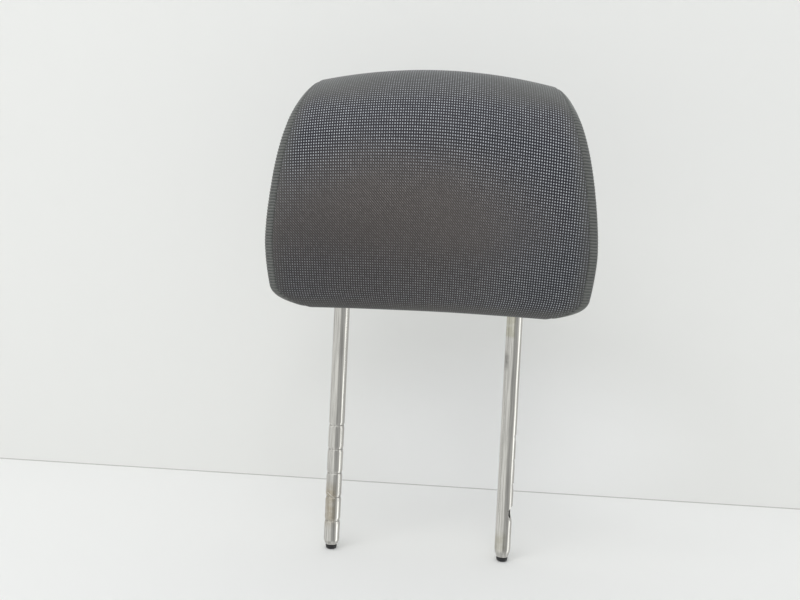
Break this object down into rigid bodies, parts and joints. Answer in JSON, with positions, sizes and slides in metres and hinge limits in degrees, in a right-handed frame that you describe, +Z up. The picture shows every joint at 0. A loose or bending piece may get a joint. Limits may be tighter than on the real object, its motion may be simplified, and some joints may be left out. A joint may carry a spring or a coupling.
{
  "type": "car_headrest",
  "caption": "Car seat headrest: padded cushion in dotted charcoal cloth on two satin steel posts with grooves, notches and black end plugs",
  "frame": {"origin": "halfway between the lower ends of the two posts, at the level of their end plugs", "axes": "+X to the right as the picture shows the headrest, -Y out of its front face, +Z up along the posts"},
  "size_m": [0.2584, 0.1185, 0.3915],
  "materials": {
    "post_steel": "satin",
    "screw_steel": "zinc plated",
    "black_plastic": "matte",
    "core_plastic": "moulded",
    "foam": "open cell foam",
    "cover_cloth": "dotted weave"
  },
  "bodies": {
    "root": {"post_frame": "post_steel", "end_plug_left": "black_plastic", "end_plug_right": "black_plastic", "core_front": "core_plastic", "core_rear": "core_plastic", "core_screw_1": "screw_steel", "core_screw_2": "screw_steel", "core_screw_3": "screw_steel", "core_screw_4": "screw_steel", "foam_core": "foam", "cover_wrap": "cover_cloth", "cover_side_left": "cover_cloth", "cover_side_right": "cover_cloth", "closure_strip_front": "black_plastic", "closure_strip_rear": "black_plastic"}
  },
  "joints": []
}
